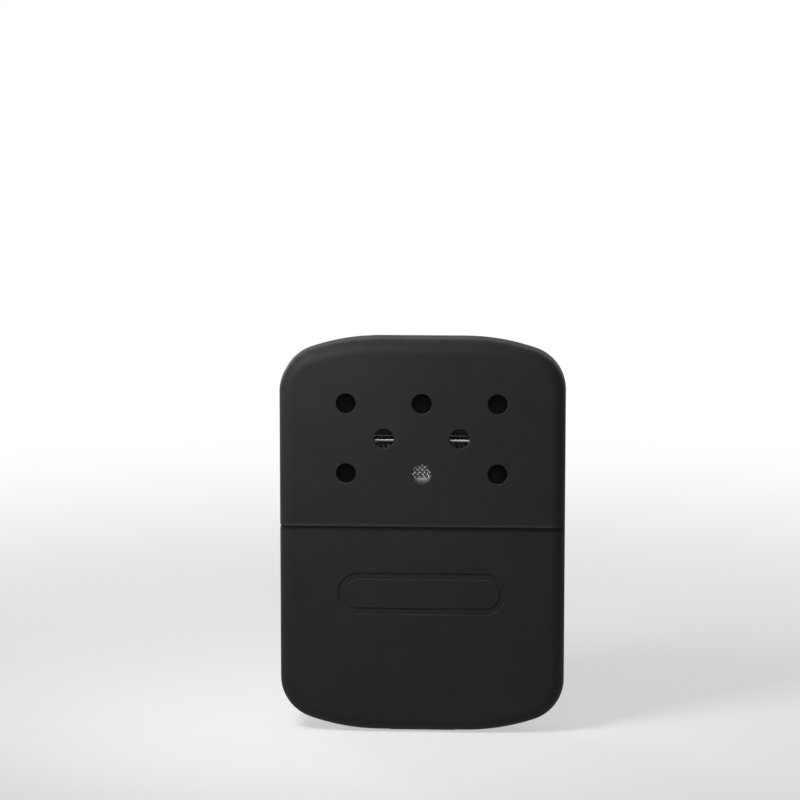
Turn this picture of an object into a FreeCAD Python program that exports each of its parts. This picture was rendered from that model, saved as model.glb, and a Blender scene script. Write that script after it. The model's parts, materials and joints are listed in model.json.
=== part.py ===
import enum
import FreeCAD, Part
import math
import os
import Sketcher

# Driving dimensions of the hand warmer, in millimetres. It stands on its foot, +Z up, front towards -Y.
DIMENSIONS = {
    # Case: lid and tank together
    "case_width": 68,
    "case_depth": 13,
    "case_height": 95,
    "seam_share": 0.522,
    "end_flat": 20,
    "shoulder_radius": 52,
    "corner_radius": 10.5,
    "edge_radius": 3.4,
    "shell_wall": 0.6,
    "rim_round": 0.15,
    # Flat foot, a little proud of the tank's closed end, so that it stands firm
    "foot_length": 18,
    "foot_margin": 0.1,
    "foot_corner": 2,
    "foot_rise": 0.25,
    "foot_round": 0.08,
    # Vents in the lid's front, in rows of three, two and three
    "vent_diameter": 4.7,
    "vent_round": 0.25,
    "vent_drop_share": 0.3373,
    "vent_row_share": 0.187,
    "vent_column_pitch": 9,
    # Plain pressed ring on the tank's front
    "ring_length": 40,
    "ring_depth": 10,
    "ring_groove": 1.5,
    "ring_press": 0.3,
    "ring_round": 0.14,
    "ring_drop": 15.5,
    # Collar that the lid slides over
    "lid_clearance": 0.3,
    "collar_wall": 0.5,
    "collar_rise": 8.3,
    "collar_plug": 6,
    "collar_round": 0.25,
    "seam_flange": 0.55,
    "flange_inset": 0.25,
    "dimple_radius": 1.4,
    "dimple_top_radius": 0.5,
    "dimple_play": 0.08,
    "dimple_spread": 40,
    # Deck that closes the collar
    "deck_drop": 3,
    "deck_sheet": 0.5,
    "deck_round": 0.4,
    # Throat that the fuel goes into
    "neck_clearance": 0.12,
    "neck_wall": 0.4,
    "neck_rise": 5.2,
    "neck_tail": 1.2,
    "neck_flange_width": 0.9,
    "neck_flange_sheet": 0.4,
    "neck_round": 0.15,
    # Cotton
    "cotton_clearance": 0.3,
    "wick_rise": 0.6,
    "wick_round": 0.9,
    # Burner
    "burner_width": 30.4,
    "burner_gap": 2.7,
    "burner_sheet": 0.4,
    "burner_lift": 0.3,
    "burner_round": 0.15,
    "skirt_lip": 0.7,
    "plate_sheet": 0.4,
    "plate_hole": 1.8,
    "plate_hole_pitch": 3.3,
    "cage_overlap": 2.6,
    "cage_rise": 10.05,
    "cage_lip": 1,
    "window_width": 22.4,
    "window_height": 8.75,
    "window_sill": 0.45,
    "window_round": 0.8,
    "gauze_sheet": 0.36,
    "gauze_pitch": 0.85,
    "gauze_wire": 0.27,
    "gauze_border": 0.45,
    "pad_clearance": 0.3,
    "pad_round": 1.2,
    # Fit between pieces of one body
    "seat_clearance": 0.05,
}

# Sizes and levels worked out from the driving dimensions; an inset is measured inward from the case's skin
DERIVED = {
    "seam_height": "dims.case_height * dims.seam_share",
    "lid_height": "dims.case_height - seam_height - dims.seam_flange",
    "vent_drop": "lid_height * dims.vent_drop_share",
    "vent_row_pitch": "lid_height * dims.vent_row_share",
    "tank_height": "seam_height - dims.foot_rise",
    "ring_height": "tank_height - dims.ring_drop",
    "foot_depth": "dims.case_depth - 2 * (dims.edge_radius + dims.foot_margin)",
    "burner_depth": "dims.case_depth - 2 * dims.burner_gap",
    "plug_inset": "dims.shell_wall + dims.seat_clearance",
    "collar_inset": "dims.shell_wall + dims.lid_clearance",
    "bore_inset": "collar_inset + dims.collar_wall",
    "deck_inset": "bore_inset + dims.seat_clearance",
    "well_inset": "deck_inset + dims.deck_sheet",
    "cotton_inset": "bore_inset + dims.cotton_clearance",
    "dimple_height": "dims.lid_clearance - dims.dimple_play",
    "plug_bottom": "seam_height - dims.collar_plug",
    "flange_top": "seam_height + dims.seam_flange",
    "collar_top": "flange_top + dims.collar_rise",
    "collar_height": "collar_top - plug_bottom",
    "dimple_level": "flange_top + dims.collar_rise / 2",
    "deck_floor": "collar_top - dims.deck_drop",
    "deck_bottom": "deck_floor - dims.deck_sheet",
    "deck_height": "collar_top - deck_bottom",
    "neck_top": "deck_floor + dims.neck_rise",
    "neck_bottom": "deck_bottom - dims.neck_tail",
    "neck_height": "neck_top - neck_bottom",
    "cotton_top": "neck_bottom - dims.cotton_clearance",
    "cotton_height": "cotton_top - dims.foot_rise",
    "cotton_depth": "dims.case_depth - 2 * cotton_inset",
    "cotton_round": "dims.edge_radius - cotton_inset",
    "wick_height": "deck_floor + dims.wick_rise - cotton_top",
    "skirt_bottom": "deck_floor + dims.neck_flange_sheet + dims.burner_lift",
    "plate_bottom": "neck_top + dims.burner_lift",
    "plate_top": "plate_bottom + dims.plate_sheet",
    "skirt_height": "plate_bottom - skirt_bottom",
    "cage_bottom": "plate_bottom - dims.cage_overlap",
    "cage_height": "dims.cage_overlap + dims.cage_rise",
    "cage_inner_height": "cage_height - dims.burner_sheet",
    "cage_top": "cage_bottom + cage_height",
    "window_level": "plate_top + dims.window_sill + dims.window_height / 2",
    "gauze_height": "cage_bottom + cage_inner_height - plate_top",
    "gauze_seat": "burner_depth / 2 - dims.burner_sheet",
    "pad_height": "gauze_height - dims.pad_clearance",
    # Outlines of the oblong pieces, from the cage inward, each as a length and a depth
    "cage_length": "dims.burner_width",
    "cage_depth": "burner_depth",
    "cage_inner_length": "cage_length - 2 * dims.burner_sheet",
    "cage_inner_depth": "cage_depth - 2 * dims.burner_sheet",
    "cage_mouth_length": "cage_inner_length - 2 * dims.cage_lip",
    "cage_mouth_depth": "cage_inner_depth - 2 * dims.cage_lip",
    "skirt_length": "cage_inner_length - 2 * dims.seat_clearance",
    "skirt_depth": "cage_inner_depth - 2 * dims.seat_clearance",
    "skirt_lip_length": "skirt_length + 2 * dims.skirt_lip",
    "skirt_lip_depth": "skirt_depth + 2 * dims.skirt_lip",
    "skirt_inner_length": "skirt_length - 2 * dims.burner_sheet",
    "skirt_inner_depth": "skirt_depth - 2 * dims.burner_sheet",
    "neck_length": "skirt_inner_length - 2 * dims.neck_clearance",
    "neck_depth": "skirt_inner_depth - 2 * dims.neck_clearance",
    "neck_flange_length": "neck_length + 2 * dims.neck_flange_width",
    "neck_flange_depth": "neck_depth + 2 * dims.neck_flange_width",
    "neck_inner_length": "neck_length - 2 * dims.neck_wall",
    "neck_inner_depth": "neck_depth - 2 * dims.neck_wall",
    "deck_hole_length": "neck_length + 2 * dims.seat_clearance",
    "deck_hole_depth": "neck_depth + 2 * dims.seat_clearance",
    "wick_length": "neck_inner_length - 2 * dims.cotton_clearance",
    "wick_depth": "neck_inner_depth - 2 * dims.cotton_clearance",
    "pad_length": "cage_inner_length - 2 * dims.pad_clearance",
    "pad_depth": "cage_inner_depth - 2 * (dims.gauze_sheet + dims.pad_clearance)",
    "ring_inner_length": "dims.ring_length - 2 * dims.ring_groove",
    "ring_inner_depth": "dims.ring_depth - 2 * dims.ring_groove",
}

VENT_ROWS = ((-2, 0, 2), (-1, 1), (-2, 0, 2))
PLATE_HOLES = 7
CLOSE = 1e-4
V = FreeCAD.Vector
UP = V(0, 0, 1)
QUARTER = math.pi / 2
DIAGONAL = math.sqrt(2)


class Point(enum.IntEnum):
    """Which point of a line or an arc a sketch's constraint holds."""
    START = 1
    END = 2
    CENTRE = 3


class Axis(enum.IntEnum):
    """A sketch's own axes, as its constraints number them."""
    ACROSS = -1
    UPRIGHT = -2


START, END, CENTRE = Point
ORIGIN = (Axis.ACROSS, START)

doc = FreeCAD.newDocument("hand_warmer")
dims = doc.addObject("Spreadsheet::Sheet", "dims")
for row, (alias, size) in enumerate(DIMENSIONS.items(), 1):
    dims.set("A%d" % row, alias)
    dims.set("B%d" % row, str(size))
    dims.setAlias("B%d" % row, alias)
doc.recompute()

fit = doc.addObject("App::VarSet", "fit")
for name, formula in DERIVED.items():
    fit.addProperty("App::PropertyFloat", name)
    fit.setExpression(name, formula)
doc.recompute()


# Sizes, sketches and features

def size(name):
    """A driving or derived size as a number."""
    return getattr(fit, name) if name in DERIVED else float(dims.get(name))


def ref(name):
    """The same size as it is written in a formula."""
    return ("fit." if name in DERIVED else "dims.") + name


def tie(sketch, formula, kind, *places):
    """Adds a dimension to a sketch, at the size it is drawn, and ties it to a formula."""
    index = sketch.addConstraint(Sketcher.Constraint(kind, *places))
    sketch.setExpression("Constraints[%d]" % index, formula)


def new_body(label):
    body = doc.addObject("PartDesign::Body", label)
    body.Label = label
    return body


def new_sketch(body, name, role, out=None, rise=None):
    """A sketch on one of the body's planes, moved out along its normal and up along its own height."""
    sketch = body.newObject("Sketcher::SketchObject", body.Name + "_" + name)
    plane = next(item for item in body.Origin.OriginFeatures if item.Role == role)
    sketch.AttachmentSupport = [(plane, "")]
    sketch.MapMode = "FlatFace"
    if out:
        sketch.setExpression(".AttachmentOffset.Base.z", out)
    if rise:
        sketch.setExpression(".AttachmentOffset.Base.y", rise)
    return sketch


def extrude(body, kind, sketch, length, **settings):
    """A pad or pocket of a sketch, with its length tied to a formula."""
    feature = body.newObject("PartDesign::" + kind, sketch.Name + "_" + kind.lower())
    feature.Profile = sketch
    for name, setting in settings.items():
        setattr(feature, name, setting)
    feature.setExpression("Length", length)
    doc.recompute()
    return feature


def edges_where(shape, wanted):
    """Names of the edges whose middle point passes a test."""
    names = []
    for number, edge in enumerate(shape.Edges, 1):
        middle = edge.valueAt((edge.FirstParameter + edge.LastParameter) / 2)
        if wanted(middle):
            names.append("Edge%d" % number)
    return names


def fillet(body, name, radius, wanted):
    """Rounds the tip's edges whose middle point passes a test."""
    base = body.Tip
    feature = body.newObject("PartDesign::Fillet", body.Name + "_" + name)
    feature.Base = (base, edges_where(base.Shape, wanted))
    feature.setExpression("Radius", radius)
    doc.recompute()
    return feature


def near(first, second):
    return abs(first - second) < CLOSE


def arc(centre, radius, start, end):
    return Part.ArcOfCircle(Part.Circle(centre, UP, radius), start, end)


def rounded_rectangle(sketch, width, depth, radius, formulas):
    """Closed outline about the sketch's origin, with its width, depth and radius tied to formulas."""
    corners = []
    for quarter, (across, up) in enumerate(((1, 1), (-1, 1), (-1, -1), (1, -1))):
        centre = V(across * (width / 2 - radius), up * (depth / 2 - radius), 0)
        bend = arc(centre, radius, quarter * QUARTER, (quarter + 1) * QUARTER)
        corners.append(sketch.addGeometry(bend))
    sides = []
    for first, second in zip(corners, corners[1:] + corners[:1]):
        run = Part.LineSegment(sketch.getPoint(first, END), sketch.getPoint(second, START))
        side = sketch.addGeometry(run)
        sketch.addConstraint(Sketcher.Constraint("Tangent", first, END, side, START))
        sketch.addConstraint(Sketcher.Constraint("Tangent", side, END, second, START))
        sides.append(side)
    for side, direction in zip(sides, ("Horizontal", "Vertical") * 2):
        sketch.addConstraint(Sketcher.Constraint(direction, side))
    for corner in corners[1:]:
        sketch.addConstraint(Sketcher.Constraint("Equal", corners[0], corner))
    sketch.addConstraint(Sketcher.Constraint("Symmetric", corners[0], CENTRE, corners[2], CENTRE, *ORIGIN))
    tie(sketch, formulas[0], "DistanceX", sides[1], START, sides[3], START, width)
    tie(sketch, formulas[1], "DistanceY", sides[2], START, sides[0], START, depth)
    tie(sketch, formulas[2], "Radius", corners[0], radius)


def section(sketch, inset):
    """The case's level section, a named inset inside its skin."""
    inward = size(inset)
    rounded_rectangle(
        sketch,
        size("case_width") - 2 * inward,
        size("case_depth") - 2 * inward,
        size("edge_radius") - inward,
        ("dims.case_width - 2 * " + ref(inset), "dims.case_depth - 2 * " + ref(inset),
         "dims.edge_radius - " + ref(inset)),
    )


def oblong(sketch, length, depth):
    """Closed outline with two round ends about the sketch's origin; length and depth are named sizes."""
    radius = size(depth) / 2
    reach = size(length) / 2 - radius
    right = sketch.addGeometry(arc(V(reach, 0, 0), radius, -QUARTER, QUARTER))
    left = sketch.addGeometry(arc(V(-reach, 0, 0), radius, QUARTER, 3 * QUARTER))
    for first, second in ((right, left), (left, right)):
        run = Part.LineSegment(sketch.getPoint(first, END), sketch.getPoint(second, START))
        side = sketch.addGeometry(run)
        sketch.addConstraint(Sketcher.Constraint("Tangent", first, END, side, START))
        sketch.addConstraint(Sketcher.Constraint("Tangent", side, END, second, START))
    sketch.addConstraint(Sketcher.Constraint("Equal", right, left))
    sketch.addConstraint(Sketcher.Constraint("Symmetric", right, CENTRE, left, CENTRE, *ORIGIN))
    sketch.addConstraint(Sketcher.Constraint("Horizontal", right, CENTRE, left, CENTRE))
    tie(sketch, ref(length) + " - " + ref(depth), "DistanceX", left, CENTRE, right, CENTRE, 2 * reach)
    tie(sketch, ref(depth) + " / 2", "Radius", right, radius)


def oblong_feature(body, kind, name, outline, level, length, **settings):
    """A pad or pocket of a named oblong, from a named level."""
    sketch = new_sketch(body, name, "XY_Plane", out=ref(level))
    oblong(sketch, outline + "_length", outline + "_depth")
    return extrude(body, kind, sketch, length, **settings)


def section_feature(body, kind, name, inset, level, length, **settings):
    """A pad or pocket of the case's section, from a named level."""
    sketch = new_sketch(body, name, "XY_Plane", out=ref(level))
    section(sketch, inset)
    return extrude(body, kind, sketch, length, **settings)


def place_circle(sketch, across, across_formula, up, up_formula, diameter):
    """A circle of a named diameter whose centre lies across and up from the sketch's origin."""
    circle = sketch.addGeometry(Part.Circle(V(across, up, 0), UP, size(diameter) / 2))
    tie(sketch, ref(diameter), "Diameter", circle, size(diameter))
    if across > 0:
        tie(sketch, across_formula, "DistanceX", *ORIGIN, circle, CENTRE, across)
    elif across < 0:
        tie(sketch, across_formula, "DistanceX", circle, CENTRE, *ORIGIN, -across)
    else:
        sketch.addConstraint(Sketcher.Constraint("PointOnObject", circle, CENTRE, Axis.UPRIGHT))
    if up:
        tie(sketch, up_formula, "DistanceY", *ORIGIN, circle, CENTRE, up)
    else:
        sketch.addConstraint(Sketcher.Constraint("PointOnObject", circle, CENTRE, Axis.ACROSS))


# Case

def cup_outline(sketch, mouth, inset=None):
    """Front view of a cup: foot, shoulder and corner arcs, and straight sides up to its named mouth."""
    inward = size(inset) if inset else 0
    less = " - " + ref(inset) if inset else ""
    half_width = size("case_width") / 2 - inward
    half_foot = size("end_flat") / 2
    shoulder = size("shoulder_radius") - inward
    corner = size("corner_radius") - inward
    turn = math.asin((half_width - half_foot - corner) / (shoulder - corner))
    shoulder_centre = V(half_foot, inward + shoulder, 0)
    corner_centre = shoulder_centre + V(math.sin(turn), -math.cos(turn), 0) * (shoulder - corner)
    rim = size(mouth)

    foot = sketch.addGeometry(Part.LineSegment(V(-half_foot, inward, 0), V(half_foot, inward, 0)))
    shoulders, corners, sides = [], [], []
    for hand in (1, -1):
        low, bend, level = -QUARTER, -QUARTER + turn, 0
        if hand < 0:
            low, bend, level = 3 * QUARTER, 3 * QUARTER - turn, math.pi
        spans = ((low, bend), (bend, level)) if hand > 0 else ((bend, low), (level, bend))
        first = V(hand * shoulder_centre.x, shoulder_centre.y, 0)
        second = V(hand * corner_centre.x, corner_centre.y, 0)
        shoulders.append(sketch.addGeometry(arc(first, shoulder, *spans[0])))
        corners.append(sketch.addGeometry(arc(second, corner, *spans[1])))
        low_point = V(hand * half_width, corner_centre.y, 0)
        sides.append(sketch.addGeometry(Part.LineSegment(low_point, V(hand * half_width, rim, 0))))
    top = sketch.addGeometry(Part.LineSegment(V(half_width, rim, 0), V(-half_width, rim, 0)))

    joints = (
        ("Tangent", foot, END, shoulders[0], START),
        ("Tangent", shoulders[0], END, corners[0], START),
        ("Tangent", corners[0], END, sides[0], START),
        ("Coincident", sides[0], END, top, START),
        ("Tangent", foot, START, shoulders[1], END),
        ("Tangent", shoulders[1], START, corners[1], END),
        ("Tangent", corners[1], START, sides[1], START),
        ("Coincident", sides[1], END, top, END),
        ("Vertical", sides[0]),
        ("Vertical", sides[1]),
        ("Symmetric", foot, START, foot, END, Axis.UPRIGHT),
        ("Symmetric", top, START, top, END, Axis.UPRIGHT),
        ("Equal", shoulders[0], shoulders[1]),
        ("Equal", corners[0], corners[1]),
    )
    for joint in joints:
        sketch.addConstraint(Sketcher.Constraint(*joint))
    tie(sketch, "dims.end_flat", "DistanceX", foot, START, foot, END, 2 * half_foot)
    tie(sketch, "dims.case_width" + less * 2, "DistanceX", top, END, top, START, 2 * half_width)
    tie(sketch, ref(mouth), "DistanceY", *ORIGIN, top, START, rim)
    tie(sketch, "dims.shoulder_radius" + less, "Radius", shoulders[0], shoulder)
    tie(sketch, "dims.corner_radius" + less, "Radius", corners[0], corner)
    if inset:
        tie(sketch, ref(inset), "DistanceY", *ORIGIN, foot, START, inward)
    else:
        sketch.addConstraint(Sketcher.Constraint("PointOnObject", foot, START, Axis.ACROSS))


def rounded_slab(body, mouth, depth, radius, inset=None):
    """A cup outline made solid, with its front and back edges rounded up to the mouth."""
    sketch = new_sketch(body, "outline", "XZ_Plane")
    cup_outline(sketch, mouth, inset)
    extrude(body, "Pad", sketch, ref(depth), Midplane=True)
    face = size(depth) / 2
    rim = size(mouth)
    fillet(body, "edges", ref(radius), lambda at: near(abs(at.y), face) and at.z < rim - CLOSE)


def drawn_cup(label, mouth):
    """A sheet-metal cup with its closed end at the body's origin and its mouth upward."""
    body = new_body(label)
    rounded_slab(body, mouth, "case_depth", "edge_radius")
    rim = size(mouth)
    slab = body.Tip
    faces = ["Face%d" % number for number, face in enumerate(slab.Shape.Faces, 1)
             if near(face.CenterOfMass.z, rim)]
    wall = body.newObject("PartDesign::Thickness", label + "_wall")
    wall.Base = (slab, faces)
    wall.Reversed = True
    wall.setExpression("Value", "dims.shell_wall")
    doc.recompute()
    fillet(body, "rim", "dims.rim_round", lambda at: near(at.z, rim))
    return body


def make_tank_shell():
    """Modelled with its closed end at the origin, then raised by the foot under it."""
    body = drawn_cup("tank_shell", "tank_height")
    sketch = new_sketch(body, "ring", "XZ_Plane", out="dims.case_depth / 2", rise="fit.ring_height")
    oblong(sketch, "ring_length", "ring_depth")
    oblong(sketch, "ring_inner_length", "ring_inner_depth")
    extrude(body, "Pocket", sketch, "dims.ring_press")
    front = -size("case_depth") / 2
    reach = size("ring_length") / 2 + CLOSE
    low = size("ring_height") - size("ring_depth") / 2 - CLOSE
    high = size("ring_height") + size("ring_depth") / 2 + CLOSE
    fillet(body, "ring_edges", "dims.ring_round",
           lambda at: near(at.y, front) and abs(at.x) < reach and low < at.z < high)
    sketch = new_sketch(body, "foot", "XY_Plane")
    rounded_rectangle(
        sketch, size("foot_length"), size("foot_depth"), size("foot_corner"),
        ("dims.foot_length", "fit.foot_depth", "dims.foot_corner"),
    )
    extrude(body, "Pad", sketch, "dims.foot_rise", Reversed=True)
    ground = -size("foot_rise")
    fillet(body, "foot_edges", "dims.foot_round", lambda at: near(at.z, ground))
    body.setExpression(".Placement.Base.z", "dims.foot_rise")
    return body


def make_lid_shell():
    """Modelled mouth up like the tank, then turned over onto the seam."""
    body = drawn_cup("lid_shell", "lid_height")
    sketch = new_sketch(body, "vents", "XZ_Plane", rise="fit.vent_drop")
    for row, columns in enumerate(VENT_ROWS):
        for column in columns:
            place_circle(
                sketch,
                column * size("vent_column_pitch"), "%d * dims.vent_column_pitch" % abs(column),
                row * size("vent_row_pitch"), "%d * fit.vent_row_pitch" % row,
                "vent_diameter",
            )
    extrude(body, "Pocket", sketch, "dims.case_depth", Reversed=True)
    front = -size("case_depth") / 2
    first = size("vent_drop")
    last = first + (len(VENT_ROWS) - 1) * size("vent_row_pitch")
    margin = size("vent_diameter")
    columns = max(max(row) for row in VENT_ROWS) * size("vent_column_pitch") + margin
    fillet(body, "vent_edges", "dims.vent_round",
           lambda at: near(at.y, front) and abs(at.x) < columns and first - margin < at.z < last + margin)
    body.Placement = FreeCAD.Placement(V(0, 0, 0), FreeCAD.Rotation(V(0, 1, 0), 180))
    body.setExpression(".Placement.Base.z", "dims.case_height")
    return body


def make_tank_collar():
    """Ring plugged into the tank, with a flange between the rims and a sleeve that the lid slides over."""
    body = new_body("tank_collar")
    section_feature(body, "Pad", "plug", "plug_inset", "plug_bottom", "dims.collar_plug")
    section_feature(body, "Pad", "flange", "flange_inset", "seam_height", "dims.seam_flange")
    section_feature(body, "Pad", "sleeve", "collar_inset", "flange_top", "dims.collar_rise")
    section_feature(body, "Pocket", "bore", "bore_inset", "collar_top", "fit.collar_height")
    top = size("collar_top")
    skin = size("case_width") / 2 - size("bore_inset") + CLOSE
    face = size("case_depth") / 2 - size("bore_inset") + CLOSE
    fillet(body, "lead_in", "dims.collar_round",
           lambda at: near(at.z, top) and not (abs(at.x) < skin and abs(at.y) < face))
    for front in (True, False):
        for hand in (1, -1):
            dimple = body.newObject("PartDesign::AdditiveCone", "dimple")
            plane = next(item for item in body.Origin.OriginFeatures if item.Role == "XZ_Plane")
            dimple.AttachmentSupport = [(plane, "")]
            dimple.MapMode = "FlatFace"
            turn = FreeCAD.Rotation() if front else FreeCAD.Rotation(V(1, 0, 0), 180)
            dimple.AttachmentOffset = FreeCAD.Placement(V(0, 0, 0), turn)
            side = "" if front else "-"
            dimple.setExpression(".AttachmentOffset.Base.x", "%d * dims.dimple_spread / 2" % hand)
            dimple.setExpression(".AttachmentOffset.Base.y", "fit.dimple_level")
            dimple.setExpression(".AttachmentOffset.Base.z", side + "(dims.case_depth / 2 - fit.collar_inset)")
            dimple.setExpression("Radius1", "dims.dimple_radius")
            dimple.setExpression("Radius2", "dims.dimple_top_radius")
            dimple.setExpression("Height", "fit.dimple_height")
            doc.recompute()
    return body


# Tank fittings

def make_tank_deck():
    """Shallow tray inside the collar, with an oblong hole for the throat."""
    body = new_body("tank_deck")
    section_feature(body, "Pad", "tray", "deck_inset", "deck_bottom", "fit.deck_height")
    section_feature(body, "Pocket", "well", "well_inset", "collar_top", "dims.deck_drop")
    floor = size("deck_floor")
    fillet(body, "well_edges", "dims.deck_round", lambda at: near(at.z, floor))
    oblong_feature(body, "Pocket", "hole", "deck_hole", "deck_floor", "dims.deck_sheet")
    return body


def make_filler_neck():
    """Oblong throat with a flange that sits on the deck."""
    body = new_body("filler_neck")
    oblong_feature(body, "Pad", "tube", "neck", "neck_bottom", "fit.neck_height")
    oblong_feature(body, "Pad", "flange", "neck_flange", "deck_floor", "dims.neck_flange_sheet")
    oblong_feature(body, "Pocket", "bore", "neck_inner", "neck_top", "fit.neck_height")
    top = size("neck_top")
    fillet(body, "lip", "dims.neck_round", lambda at: near(at.z, top))
    return body


def make_cotton_batting():
    """Modelled from the tank's closed end, and raised with it."""
    body = new_body("cotton_batting")
    rounded_slab(body, "cotton_height", "cotton_depth", "cotton_round", "cotton_inset")
    body.setExpression(".Placement.Base.z", "dims.foot_rise")
    return body


def make_wick_tuft():
    """Cotton drawn up into the throat, with a rounded top."""
    body = new_body("wick_tuft")
    oblong_feature(body, "Pad", "tuft", "wick", "cotton_top", "fit.wick_height")
    top = size("cotton_top") + size("wick_height")
    fillet(body, "crown", "dims.wick_round", lambda at: near(at.z, top))
    return body


# Burner

def make_burner_skirt():
    """Oblong sleeve that pushes over the throat, with a lip to pull it by."""
    body = new_body("burner_skirt")
    oblong_feature(body, "Pad", "sleeve", "skirt", "skirt_bottom", "fit.skirt_height")
    oblong_feature(body, "Pad", "lip", "skirt_lip", "skirt_bottom", "dims.burner_sheet")
    oblong_feature(body, "Pocket", "bore", "skirt_inner", "plate_bottom", "fit.skirt_height")
    return body


def make_vapour_plate():
    """Plate on the skirt's top edge, with a row of holes that let the fuel's vapour through."""
    body = new_body("vapour_plate")
    oblong_feature(body, "Pad", "sheet", "skirt", "plate_bottom", "dims.plate_sheet")
    sketch = new_sketch(body, "holes", "XY_Plane", out="fit.plate_top")
    for number in range(PLATE_HOLES):
        step = number - (PLATE_HOLES - 1) // 2
        formula = "%d * dims.plate_hole_pitch" % abs(step)
        place_circle(sketch, step * size("plate_hole_pitch"), formula, 0, "", "plate_hole")
    extrude(body, "Pocket", sketch, "dims.plate_sheet")
    return body


def make_burner_cage():
    """Oblong frame over the catalyst, with an inward lip round its open top and a window front and back."""
    body = new_body("burner_cage")
    oblong_feature(body, "Pad", "outside", "cage", "cage_bottom", "fit.cage_height")
    oblong_feature(body, "Pocket", "inside", "cage_inner", "cage_bottom", "fit.cage_inner_height",
                   Reversed=True)
    oblong_feature(body, "Pocket", "mouth", "cage_mouth", "cage_top", "dims.burner_sheet")
    sketch = new_sketch(body, "window", "XZ_Plane", rise="fit.window_level")
    rounded_rectangle(
        sketch, size("window_width"), size("window_height"), size("window_round"),
        ("dims.window_width", "dims.window_height", "dims.window_round"),
    )
    extrude(body, "Pocket", sketch, "2 * fit.cage_depth", Midplane=True)
    top = size("cage_top")
    fillet(body, "rim", "dims.burner_round", lambda at: near(at.z, top))
    return body


def make_gauze(label, front):
    """Flat net of diamond gaps against the inside of a window."""
    width = size("cage_inner_length") - size("cage_inner_depth")
    height = size("gauze_height")
    border = size("gauze_border")
    step = size("gauze_pitch") * DIAGONAL
    half_gap = (size("gauze_pitch") - size("gauze_wire")) / DIAGONAL
    reach_across = width / 2 - border - half_gap
    reach_up = height / 2 - border - half_gap
    outline = [(0.5, -0.5), (0.5, 0.5), (-0.5, 0.5), (-0.5, -0.5), (0.5, -0.5)]
    rim = Part.makePolygon([V(across * width, 0, up * height) for across, up in outline])
    gaps = []
    most_across = int(2 * reach_across / step) + 1
    most_up = int(2 * reach_up / step) + 1
    for across in range(-most_across, most_across + 1):
        for up in range(-most_up, most_up + 1):
            centre = V(across * step / 2, 0, up * step / 2)
            inside = abs(centre.x) <= reach_across and abs(centre.z) <= reach_up
            if inside and (across + up) % 2 == 0:
                points = [V(half_gap, 0, 0), V(0, 0, half_gap), V(-half_gap, 0, 0), V(0, 0, -half_gap)]
                gaps.append(Part.makePolygon([centre + point for point in points + points[:1]]))
    face = Part.makeFace([rim] + gaps, "Part::FaceMakerBullseye")
    net = doc.addObject("Part::Feature", label)
    net.Label = label
    net.Shape = face.extrude(V(0, size("gauze_sheet"), 0))
    seat = -size("gauze_seat") if front else size("gauze_seat") - size("gauze_sheet")
    net.Placement = FreeCAD.Placement(V(0, seat, size("plate_top") + height / 2), FreeCAD.Rotation())
    return net


def make_catalyst_pad():
    """Glass-fibre pad between the gauzes, with a rounded top."""
    body = new_body("catalyst_pad")
    oblong_feature(body, "Pad", "pad", "pad", "plate_top", "fit.pad_height")
    top = size("plate_top") + size("pad_height")
    fillet(body, "crown", "dims.pad_round", lambda at: near(at.z, top))
    return body


def check(pieces):
    """Stops if any object failed or any piece isn't one valid solid."""
    for item in doc.Objects:
        if "Invalid" in item.State or "Error" in item.State:
            raise RuntimeError("%s failed: %s" % (item.Name, item.State))
    for piece in pieces:
        shape = piece.Shape
        if shape.isNull() or not shape.isValid() or len(shape.Solids) != 1:
            raise RuntimeError("%s isn't one valid solid" % piece.Label)


pieces = [
    make_tank_shell(),
    make_tank_collar(),
    make_tank_deck(),
    make_filler_neck(),
    make_cotton_batting(),
    make_wick_tuft(),
    make_burner_skirt(),
    make_vapour_plate(),
    make_burner_cage(),
    make_gauze("front_gauze", True),
    make_gauze("rear_gauze", False),
    make_catalyst_pad(),
    make_lid_shell(),
]
doc.recompute()
check(pieces)
os.makedirs("parts", exist_ok=True)
for piece in pieces:
    piece.Shape.exportStep("parts/%s.step" % piece.Label)
    print("%s: %.1f cubic mm" % (piece.Label, piece.Shape.Volume))
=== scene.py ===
"""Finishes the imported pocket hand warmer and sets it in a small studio.

The case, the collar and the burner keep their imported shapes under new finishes. The gauzes are woven from
wire, and the catalyst pad and the cotton are made of fibre.
"""

import json
import math
import random

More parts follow.
